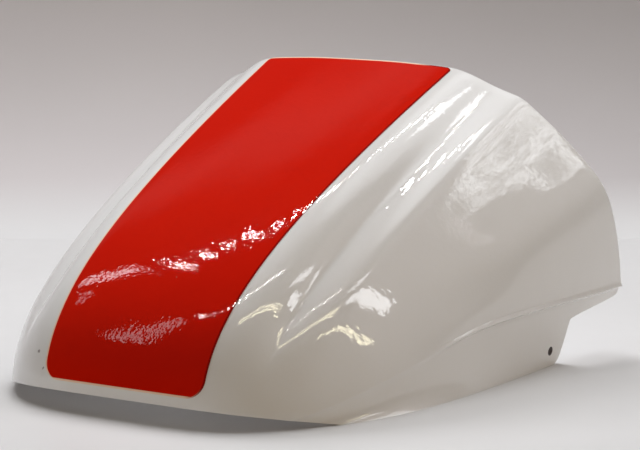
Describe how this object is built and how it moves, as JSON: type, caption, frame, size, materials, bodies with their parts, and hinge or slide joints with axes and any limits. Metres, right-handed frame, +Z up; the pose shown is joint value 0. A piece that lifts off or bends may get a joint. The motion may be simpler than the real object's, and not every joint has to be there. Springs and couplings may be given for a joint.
{
  "type": "seat cowl",
  "caption": "Hollow one-piece rear seat cowl with a raised centre band, soft grooves, creased flanks with stepped feet, and a broad stripe film laid down the middle.",
  "frame": {"origin": "on the table, under the middle of the part's box", "axes": "+Y forward to the open front rim, -Y to the tail lip, +Z up, +X to the part's right side"},
  "size_m": [0.3188, 0.3334, 0.1869],
  "materials": {
    "shell_white": "gloss",
    "film_red": "gloss"
  },
  "bodies": {
    "root": {"cowl_shell": "shell_white", "stripe_film": "film_red"}
  },
  "joints": []
}
